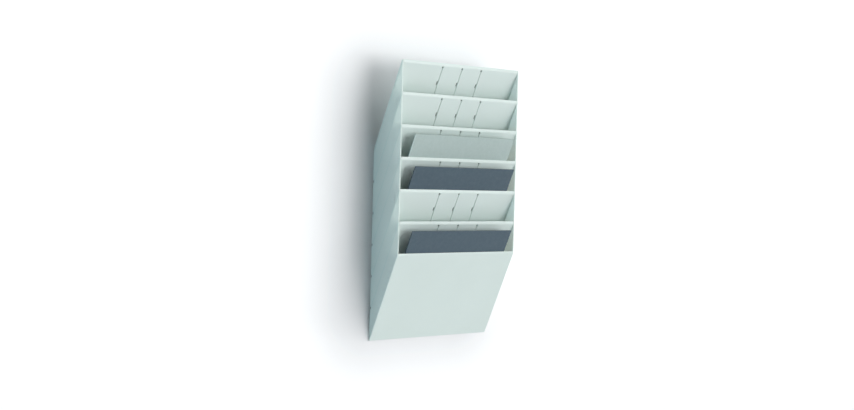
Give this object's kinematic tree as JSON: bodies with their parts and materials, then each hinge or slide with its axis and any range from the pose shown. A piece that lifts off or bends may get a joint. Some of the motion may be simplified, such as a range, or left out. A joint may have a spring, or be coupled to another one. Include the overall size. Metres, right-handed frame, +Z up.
{
  "type": "medical chart rack",
  "caption": "Wall-hung chart rack with stacked, forward-leaning pockets between two side panels, holding flat chart folders that lift out along the slope.",
  "frame": {"origin": "middle of the upper wall rail, on the face that lies against the wall", "axes": "+Z up the wall, +Y into the wall, +X to the right of someone facing the rack"},
  "size_m": [0.35, 0.1188, 0.6276],
  "materials": {
    "rack_plastic": "satin moulded polystyrene, pale cool grey",
    "folder_dark": "matt slate blue-grey card",
    "folder_pale": "matt pale grey card"
  },
  "bodies": {
    "rack": {"side_panel_left": "rack_plastic", "side_panel_right": "rack_plastic", "front_panel": "rack_plastic", "divider_panel_1": "rack_plastic", "divider_panel_2": "rack_plastic", "divider_panel_3": "rack_plastic", "divider_panel_4": "rack_plastic", "divider_panel_5": "rack_plastic", "top_panel": "rack_plastic", "pocket_floor_1": "rack_plastic", "pocket_floor_2": "rack_plastic", "pocket_floor_3": "rack_plastic", "pocket_floor_4": "rack_plastic", "pocket_floor_5": "rack_plastic", "pocket_floor_6": "rack_plastic", "wall_rail_upper": "rack_plastic", "wall_rail_lower": "rack_plastic"},
    "lower_folder": {"chart_folder_lower": "folder_dark"},
    "middle_folder": {"chart_folder_middle": "folder_dark"},
    "upper_folder": {"chart_folder_upper": "folder_pale"}
  },
  "joints": [
    {"name": "lift_lower_folder", "type": "slide", "parent": "rack", "child": "lower_folder", "axis": [0, -0.4291, 0.9033], "range_m": [0, 0.165]},
    {"name": "lift_middle_folder", "type": "slide", "parent": "rack", "child": "middle_folder", "axis": [0, -0.4291, 0.9033], "range_m": [0, 0.165]},
    {"name": "lift_upper_folder", "type": "slide", "parent": "rack", "child": "upper_folder", "axis": [0, -0.4291, 0.9033], "range_m": [0, 0.165]}
  ]
}
